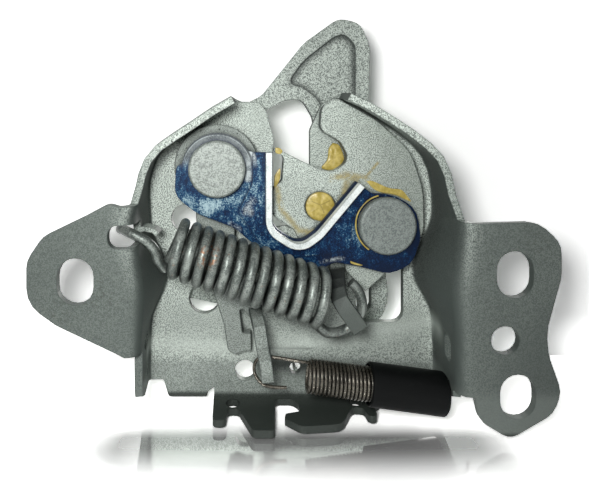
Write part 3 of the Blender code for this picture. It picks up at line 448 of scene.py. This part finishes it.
def blueMaterial():
    look = coverLook
    s = Shader("blue_passivated_zinc", Metallic=0.1, Specular_IOR_Level=0.12)
    speck = s.noise(0.36, 3, 0.8)
    streak = s.noise(1.1, 3, 0.7, s.moved((1, 1, 0.35), (0, 0.5, 0)))
    cloud = s.noise(8.0, 3, 0.6)
    patch = s.noise(3.2, 4, 0.7)
    pale = speck * 0.45 + streak * 0.25 + patch * 0.2 + cloud * 0.25
    # painted shade: the blue darkens towards the right
    pale = pale - s.step(s.along("X"), -4.0, 8.0) * 0.03
    pale = pale - s.step(s.away((19.0, 4.0)), 13.0, 18.0) * s.step(s.along("X"), 4.0, 12.0) * 0.05
    pale = pale + s.near((17.5, -3.0), 4.0, 4.0) * 0.05
    pale = pale + s.stroke((-15.5, 7.0), (-24.0, 4.6), 3.0, 2.4) * 0.09
    base = s.node("ShaderNodeValToRGB", {"stops": look["blue"]}, [s.step(pale, 0.48, 0.72)])
    wear = s.step(patch * 0.5 + speck * 0.5, 0.42, 0.56)
    ring = s.near((-21.3, 15.2), 11.2) * s.step(s.along("Z"), 15.0, 19.5)
    inside = s.near(look["ring"], look["ringRadius"], 0.2)
    # painted shade: a shadow above the left rivet, and a dark line in the groove round it
    groove = ring * s.near(look["ring"], look["grooveRadius"], 0.2) * (1 - inside)
    dark = ring * s.near(look["ring"], look["ringRadius"], 0.3) * 0.72
    island = s.most(s.stroke(*look["island"]), s.near(*look["islandFoot"])) * wear
    low = s.strokes(look["lowWear"]) * wear
    bare = s.step(s.along("Y"), look["lipRear"] + 0.3, look["lipRear"] - 0.3)
    silver = s.most(ring, s.stroke(*look["flank"]), island, low, bare)
    dull = s.step(speck * 0.6 + patch * 0.5, 0.42, 0.62)
    base = s.blend(silver * 0.9, base, s.blend(dull, look["dullSilver"], look["silver"]))
    # the bare lip, with a painted sheen
    base = s.blend(bare, base, s.blend(dull, look["dullLip"], look["lip"]))
    base = s.blend(s.most(dark, groove * 0.9), base, look["groove"])
    # painted shade in crevices and along edges
    close = s.step(s.crevice(1.6), 0.92, 0.4)
    base = s.blend(s.most(close * 0.9, s.edges(0.32) * 0.7), base, look["navy"])
    return s.end(Base_Color=base, Roughness=0.30 + pale * 0.2,
                 Normal=s.bump(speck * 0.6 + patch, 0.25, 0.1))


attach(dressed("cover_bracket", blueMaterial(), coverLook["edge"], flatten=False), "plate")
print("cover dressed")

rivetLook = {
    "edge": 0.15,  # mm
    "pale": (0.33, 0.37, 0.34),
    "dull": (0.12, 0.138, 0.127),
    "right": (0.08, 0.10, 0.10),  # the right rivet is darker than the left one
    # real marks, and the painted shade in crevices and along edges
    "mark": (0.015, 0.018, 0.016),
    "nodes": ["left_rivet", "right_rivet", "hook_rivet", "left_bush", "right_bush", "hook_bush",
              "left_spacer", "right_spacer", "left_rear_washer", "right_rear_washer",
              "hook_rear_washer"],
}


def rivetMaterial():
    look = rivetLook
    s = Shader("rivet_steel", Metallic=0.1)
    speck = s.noise(0.34, 2, 0.7)
    coarse = s.noise(1.3, 3, 0.6)
    shade = s.step(speck * 0.7 + coarse * 0.3, 0.40, 0.58)
    base = s.blend(shade, look["dull"], look["pale"])
    base = s.blend(s.step(s.along("X"), 0.0, 22.0) * 0.45, base, look["right"])
    marks = s.step(s.cells(1.4), 0.13, 0.04) * s.step(s.noise(3.0, 2), 0.46, 0.58)
    base = s.blend(marks * 0.8, base, look["mark"])
    # painted shade in crevices and along edges
    close = s.step(s.crevice(1.2), 0.85, 0.35)
    base = s.blend(s.most(close * 0.92, s.edges(0.45) * 0.85), base, look["mark"])
    return s.end(Base_Color=base, Roughness=0.42 + coarse * 0.15,
                 Normal=s.bump(speck - marks, 0.35, 0.1))


rivetSteel = rivetMaterial()
for node in rivetLook["nodes"]:
    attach(dressed(node, rivetSteel, rivetLook["edge"]), "plate")
print("rivets and bushes dressed")

springLook = {
    "rust": (0.17, 0.07, 0.025),
    "rustPlace": (-22.6, -5.4),  # the rusty turns at the coil's left end
    # painted shade between the turns and where the wire meets other parts
    "gap": (0.006, 0.008, 0.007),
}
mainSpring = {
    "wire": 2.7, "radius": 6.65, "turns": 13, "y": 3.0,
    "start": (-32.9, -4.4), "end": (6.7, -18.2),
    "hook": [(-47.2, 6.8, -0.8), (-46.4, 5.0, -0.4), (-44.8, 3.5, -0.7), (-42.8, 2.7, -1.4),
             (-40.8, 2.7, -2.4), (-38.8, 3.0, -3.8), (-37.2, 3.2, -5.8), (-36.3, 3.3, -8.4)],
    "loop": (10.6, -20.8), "loopRadius": 7.3, "loopSpan": (-118, 54), "loopY": 4.0,
    "loopSlant": 0.2,  # mm to the rear at each of the loop's first points
    "loopLevel": 8,  # the point from which the loop is flat
    "dark": (0.06, 0.072, 0.065), "pale": (0.19, 0.212, 0.195),
    "bendFrom": (-22.0, 3.0, -8.2), "bendTo": (8.0, 3.0, -18.6),
}
returnSpring = {
    "wire": 0.9, "radius": 3.95, "turns": 32, "y": 6.0,
    "start": (3.2, -40.1), "end": (36.0, -44.5),
    "hook": [(-2.2, 7.2, -44.0), (-5.2, 7.2, -43.9), (-8.0, 7.2, -43.4), (-9.8, 7.2, -42.0),
             (-10.9, 7.2, -40.0), (-11.0, 7.2, -38.0), (-10.2, 7.3, -36.5), (-8.4, 7.4, -35.7),
             (-4.0, 7.0, -35.9), (0.4, 6.4, -36.4)],
    "tail": [(37.4, 5.2, -41.2), (39.0, 6.0, -41.8), (42.6, 6.0, -41.8), (45.4, 6.0, -41.8),
             (46.4, 6.0, -42.8), (46.6, 6.0, -44.8)],
    "dark": (0.03, 0.027, 0.02), "pale": (0.11, 0.10, 0.08),
    "bendFrom": (-2.0, 6.0, -40.2), "bendTo": (34.0, 6.0, -44.5),
}
hookSpring = {
    "dark": (0.10, 0.115, 0.10), "pale": (0.25, 0.28, 0.25),
    "bendFrom": (2.0, 28.0, -16.0), "bendTo": (13.0, 28.0, -1.0),
}


def springMaterial(name, made, rust=0.0, rough=0.4):
    s = Shader(name, Metallic=0.55)
    cloud = s.noise(3.5, 4, 0.65)
    speck = s.noise(0.4, 2, 0.7)
    base = s.blend(s.step(cloud * 0.5 + speck * 0.5, 0.42, 0.58), made["dark"], made["pale"])
    if rust:
        spots = s.step(s.noise(0.9, 3, 0.6), 0.50, 0.60)
        spots = spots * s.near(springLook["rustPlace"], 2.6, 1.4)
        spots = s.most(spots, s.step(s.noise(1.3, 3, 0.6), 0.66, 0.72) * 0.6)
        base = s.blend(spots * rust, base, springLook["rust"])
    # painted shade between the turns
    close = s.step(s.crevice(1.5), 0.85, 0.3)
    base = s.blend(close * 0.92, base, springLook["gap"])
    return s.end(Base_Color=base, Roughness=rough + speck * 0.15 - 0.05,
                 Normal=s.bump(speck * 0.6 + cloud * 0.5, 0.25, 0.08))


def bends(piece, made):
    metres(made["bendFrom"])
    metres(made["bendTo"])
    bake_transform(piece)


def coilPoints(made, first, perTurn):
    a = Vector((made["start"][0], made["y"], made["start"][1]))
    b = Vector((made["end"][0], made["y"], made["end"][1]))
    front = Vector((0, -1, 0))
    up = (b - a).normalized().cross(front).normalized()
    if up.z < 0:
        up.negate()
    count = round(made["turns"] * perTurn)
    points = []
    for k in range(count + 1):
        angle = math.radians(first) + 2 * math.pi * made["turns"] * k / count
        points.append(a.lerp(b, k / count)
                      + (up * math.cos(angle) + front * math.sin(angle)) * made["radius"])
    return points


def makeMainSpring():
    made = mainSpring
    hookEnd = smoothCurve([Vector(p) for p in made["hook"]], 6)
    turns = coilPoints(made, 180, 36)
    loop = []
    for k, (x, z) in enumerate(circlePoints(made["loop"], made["loopRadius"], *made["loopSpan"], 6)):
        y = made["loopY"] + min(k, made["loopLevel"]) * made["loopSlant"]
        loop.append(Vector((x, y, z)))
    piece = wirePiece("main_spring_wire", hookEnd + turns[1:] + loop[1:], made["wire"],
                      springMaterial("spring_steel", made, rust=0.8))
    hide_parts("main_spring")
    bends(piece, made)


def makeReturnSpring():
    made = returnSpring
    hookEnd = smoothCurve([Vector(p) for p in made["hook"]], 6)
    turns = coilPoints(made, 0, 30)
    tail = smoothCurve([turns[-1], *[Vector(p) for p in made["tail"]]], 4)
    piece = wirePiece("return_spring_wire", hookEnd + turns[1:] + tail[1:], made["wire"],
                      springMaterial("dark_spring_steel", made, rough=0.25), 3)
    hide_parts("return_spring")
    bends(piece, made)


def makeHookSpring():
    look = springMaterial("hook_spring_steel", hookSpring)
    bends(dressed("hook_spring", look, bevel=0, sharp=60), hookSpring)


rubberLook = {"edge": 0.3, "black": (0.002, 0.0025, 0.0025), "dusty": (0.008, 0.009, 0.0085)}


def rubberMaterial():
    s = Shader("black_rubber", Specular_IOR_Level=0.08)
    speck = s.noise(0.35, 2, 0.6)
    dust = s.noise(2.4, 4, 0.7)
    base = s.blend(s.step(dust, 0.55, 0.8) * 0.5, rubberLook["black"], rubberLook["dusty"])
    return s.end(Base_Color=base, Roughness=0.4 + dust * 0.2, Normal=s.bump(speck, 0.12, 0.05))


makeMainSpring()
makeReturnSpring()
makeHookSpring()
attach(dressed("rubber_sleeve", rubberMaterial(), rubberLook["edge"]), "plate")
print("springs and sleeve made")

greaseLook = {
    "deep": (0.36, 0.275, 0.05),
    "pale": (0.54, 0.43, 0.12),
    # real cracks, and the painted shade in crevices
    "crack": (0.10, 0.075, 0.02),
    "cracks": [((5.6, 5.6), (8.0, 4.6), 0.16, 0.2), ((8.0, 4.6), (10.6, 5.8), 0.16, 0.2),
               ((8.0, 4.6), (9.0, 2.4), 0.16, 0.2)],
    "web": 18.1,  # mm, the depth of each face that holds grease
    "dimple": 13.9,
    "lever": 12.95,
    "cover": 11.05,
    "film": 0.16,  # mm, the height of a thin dab
    "dabRings": [(1.0, 0.0), (0.96, 0.5), (0.82, 0.85), (0.55, 1.0), (0.25, 0.95)],
}


def greaseMaterial():
    s = Shader("yellow_grease")
    cloud = s.noise(1.6, 3, 0.6)
    fine = s.noise(0.5, 2, 0.6)
    base = s.blend(s.step(cloud, 0.35, 0.65), greaseLook["deep"], greaseLook["pale"])
    # painted shade in crevices, with the real cracks
    close = s.step(s.crevice(0.8), 0.9, 0.4)
    dark = s.most(close * 0.8, s.strokes(greaseLook["cracks"]) * 0.7)
    base = s.blend(dark, base, greaseLook["crack"])
    return s.end(Base_Color=base, Roughness=0.28 + fine * 0.15,
                 Normal=s.bump(cloud + fine * 0.4, 0.35, 0.2))


grease = greaseMaterial()


def greaseDab(name, outline, y, height, body):
    # A low lump of grease on a face that looks forward
    around = smoothCurve([Vector((x, 0, z)) for x, z in [*outline, outline[0]]], 5)[:-1]
    middle = sum(around, Vector()) / len(around)
    shape = bmesh.new()
    rings = []
    for share, lift in greaseLook["dabRings"]:
        ring = []
        for point in around:
            place = middle.lerp(point, share)
            ripple = 1 + 0.5 * noise.noise(place * 0.9) * lift
            ring.append(shape.verts.new(metres((place.x, y - height * lift * ripple, place.z))))
        rings.append(ring)
    count = len(around)
    for one, two in zip(rings, rings[1:]):
        for k in range(count):
            shape.faces.new((one[k], one[(k + 1) % count], two[(k + 1) % count], two[k]))
    shape.faces.new(rings[-1])
    shape.faces.new(list(reversed(rings[0])))
    bmesh.ops.recalc_face_normals(shape, faces=shape.faces)
    mesh = bpy.data.meshes.new(name)
    shape.to_mesh(mesh)
    shape.free()
    mesh.materials.append(grease)
    mesh.shade_smooth()
    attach(placed(name, mesh), body)


greaseDab("grease_in_dimple", circlePoints((7.9, 4.2), 4.4, 0, 360, 24)[:-1],
          greaseLook["dimple"], 0.5, "claw")
greaseDab("grease_in_jaw", [(12.3, 22.3), (14.2, 21.6), (15.5, 18.7), (15.7, 16.2), (14.7, 14.5),
                            (11.8, 14.0), (8.9, 14.8), (10.6, 17.2), (11.1, 20.6)],
          greaseLook["web"], 0.55, "plate")
greaseDab("grease_by_rivet", [(20.8, 11.5), (22.5, 11.6), (26.2, 10.0), (28.2, 9.4), (31.0, 9.0),
                              (32.8, 7.0), (33.8, 5.6), (31.9, 6.3), (29.1, 7.5), (24.8, 8.3),
                              (22.5, 9.6)], greaseLook["lever"], greaseLook["film"], "claw")
greaseDab("grease_by_lip", [(-5.2, 13.0), (-4.2, 14.6), (-3.5, 15.0), (-3.6, 12.2), (-4.6, 10.1),
                            (-5.3, 10.0)], greaseLook["lever"], greaseLook["film"], "claw")
greaseDab("grease_on_tip", [(-5.0, 21.0), (-3.8, 20.9), (-2.9, 20.1), (-3.4, 19.2), (-4.8, 19.5)],
          greaseLook["lever"], greaseLook["film"], "claw")
greaseDab("grease_on_cover", [(15.9, -10.6), (17.6, -11.2), (19.4, -11.8), (18.6, -12.0),
                              (16.2, -11.4)], greaseLook["cover"], 0.3, "plate")
bead = [Vector((x, 10.9, z)) for x, z in circlePoints((25.8, -0.5), 8.35, 104, 236, 8)]
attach(wirePiece("grease_round_rivet", bead, 0.5, grease, 2), "plate")
print("grease laid on")

whiteRays = ("Camera", "Glossy", "Transmission")  # rays that see the stage and the world white
stage = {
    "floor": -54.0,  # mm
    "backdrop": 46.0,
    "half": 300.0,
    "front": -200.0,
    "top": 250.0,
    "clear": (112.0, 165.0),  # the stage fades out between these distances from the latch
    "plain": 0.45,  # what the latch and the shadows see
    "floorTones": (2.1, 3.8),  # near the latch and far from it
    "floorReach": 120.0,
    "backdropTones": (1.1, 4.2),
    "backdropReach": 210.0,
    "backdropFoot": (-26.0, -52.0),  # the backdrop's shadow ends before the floor line
    "mirror": 0.9,  # the floor mirrors the latch's foot, between these places
    "mirrorFront": (-20.0, -1.0),
    "mirrorRear": (9.0, 1.0),
    "mirrorSide": (64.0, 44.0),
}


def stageMaterial(name, middle, tones, reach, mirrors):
    # White to the camera where the lamps reach it, with the latch's shadow kept
    plain = (stage["plain"],) * 3
    s = Shader(name, Base_Color=(*plain, 1), Roughness=0.9, Specular_IOR_Level=0.0)
    path = s.tree.nodes.new("ShaderNodeLightPath")
    seen = s.most(*[Port(s, path.outputs["Is " + ray + " Ray"]) for ray in whiteRays])
    away = s.vector("DISTANCE", s.vector("MULTIPLY", s.place, (1000, 1000, 1000)), middle,
                    output="Value")
    far = s.step(away, 10.0, reach)
    if not mirrors:
        far = s.most(far, s.step(s.along("Z"), *stage["backdropFoot"]))
    pair = [s.node("ShaderNodeBsdfDiffuse", {}, {"Color": (c, c, c, 1)}) for c in tones]
    bright = s.node("ShaderNodeMixShader", {}, [far, *pair])
    shown = s.node("ShaderNodeMixShader", {}, [seen, Port(s, s.surface.outputs[0]), bright])
    if mirrors:
        shine = s.node("ShaderNodeBsdfPrincipled", {}, {"Base Color": (1, 1, 1, 1),
                                                        "Metallic": 1.0, "Roughness": 0.05})
        fade = s.step(s.along("Y"), *stage["mirrorFront"]) * s.step(s.along("Y"), *stage["mirrorRear"])
        fade = fade * s.step(s.along("X").math("ABSOLUTE"), *stage["mirrorSide"])
        shown = s.node("ShaderNodeMixShader", {}, [fade * stage["mirror"], shown, shine])
    clear = s.node("ShaderNodeBsdfTransparent")
    behind = s.node("ShaderNodeNewGeometry", output="Backfacing")
    unlit = Port(s, path.outputs["Is Shadow Ray"])
    hidden = s.most(s.step(away, *stage["clear"]), behind, unlit)
    shown = s.node("ShaderNodeMixShader", {}, [hidden, shown, clear])
    s.tree.links.new(shown.socket, s.tree.nodes["Material Output"].inputs["Surface"])
    return s.material


def stagePlane(name, corners, material):
    mesh = bpy.data.meshes.new(name)
    mesh.from_pydata([metres(corner) for corner in corners], [], [(0, 1, 2, 3)])
    mesh.materials.append(material)
    placed(name, mesh)


def makeStage():
    z, y, half = stage["floor"], stage["backdrop"], stage["half"]
    near, top = stage["front"], stage["top"]
    stagePlane("floor", [(-half, near, z), (half, near, z), (half, y, z), (-half, y, z)],
               stageMaterial("pale_floor", (0, 12, z), stage["floorTones"],
                             stage["floorReach"], mirrors=True))
    stagePlane("backdrop", [(-half, y, z), (half, y, z), (half, y, top), (-half, y, top)],
               stageMaterial("pale_backdrop", (0, y, 5), stage["backdropTones"],
                             stage["backdropReach"], mirrors=False))


worldLook = {"soft": (0.95, 0.98, 1.0), "softStrength": 0.08, "white": 1.0}


def makeWorld():
    world = bpy.data.worlds.new("studio")
    bpy.context.scene.world = world
    world.use_nodes = True
    tree = world.node_tree
    soft = tree.nodes["Background"]
    soft.inputs["Color"].default_value = (*worldLook["soft"], 1)
    soft.inputs["Strength"].default_value = worldLook["softStrength"]
    white = tree.nodes.new("ShaderNodeBackground")
    white.inputs["Color"].default_value = (1, 1, 1, 1)
    white.inputs["Strength"].default_value = worldLook["white"]
    path = tree.nodes.new("ShaderNodeLightPath")
    seen = path.outputs["Is " + whiteRays[0] + " Ray"]
    for ray in whiteRays[1:]:
        most = tree.nodes.new("ShaderNodeMath")
        most.operation = "MAXIMUM"
        tree.links.new(seen, most.inputs[0])
        tree.links.new(path.outputs["Is " + ray + " Ray"], most.inputs[1])
        seen = most.outputs[0]
    mix = tree.nodes.new("ShaderNodeMixShader")
    tree.links.new(seen, mix.inputs[0])
    tree.links.new(soft.outputs[0], mix.inputs[1])
    tree.links.new(white.outputs[0], mix.inputs[2])
    tree.links.new(mix.outputs[0], tree.nodes["World Output"].inputs["Surface"])


makeStage()
makeWorld()

lamps = {  # places and sizes in mm, power in watts
    "flash": {"place": (-32, -121, 42), "aim": (-8, 10, 5), "size": 32, "power": 0.2,
              "colour": (1.0, 1.0, 0.99)},
    "key": {"place": (-200, -360, 280), "aim": (0, 10, 0), "size": 200, "power": 0.16,
            "colour": (1.0, 0.99, 0.97)},
    "rear": {"place": (150, 430, 30), "aim": (0, 10, 0), "size": 200, "power": 1.8,
             "colour": (1.0, 0.99, 0.97)},
}


def areaLight(name, lamp):
    light = bpy.data.lights.new(name, "AREA")
    light.shape = "DISK"
    light.size = lamp["size"] * mm
    light.energy = lamp["power"]
    light.color = lamp["colour"]
    obj = placed(name, light)
    place, aim = Vector(lamp["place"]), Vector(lamp["aim"])
    obj.location = place * mm
    obj.rotation_euler = (aim - place).to_track_quat("-Z", "Y").to_euler()


for name, lamp in lamps.items():
    areaLight(name, lamp)
print("stage and lights made")

shot = {
    "place": (-12.7, -119.2, 26.0),
    "sensor": 36.0,  # mm
    "frame": (589.0, 491.0),  # px
    "focal": 465.0,  # px
    "axis": (248.0, 130.0),  # px, where the rearward direction meets the frame
}


def makeCamera():
    width, height = shot["frame"]
    data = bpy.data.cameras.new("photo_camera")
    data.sensor_width = shot["sensor"]
    data.lens = shot["sensor"] * shot["focal"] / width
    data.shift_x = (width / 2 - shot["axis"][0]) / width
    data.shift_y = (shot["axis"][1] - height / 2) / width
    data.clip_start, data.clip_end = 0.005, 20
    camera = placed("photo_camera", data)
    camera.location = Vector(shot["place"]) * mm
    camera.rotation_euler = (math.radians(90), 0, 0)
    bpy.context.scene.camera = camera


makeCamera()
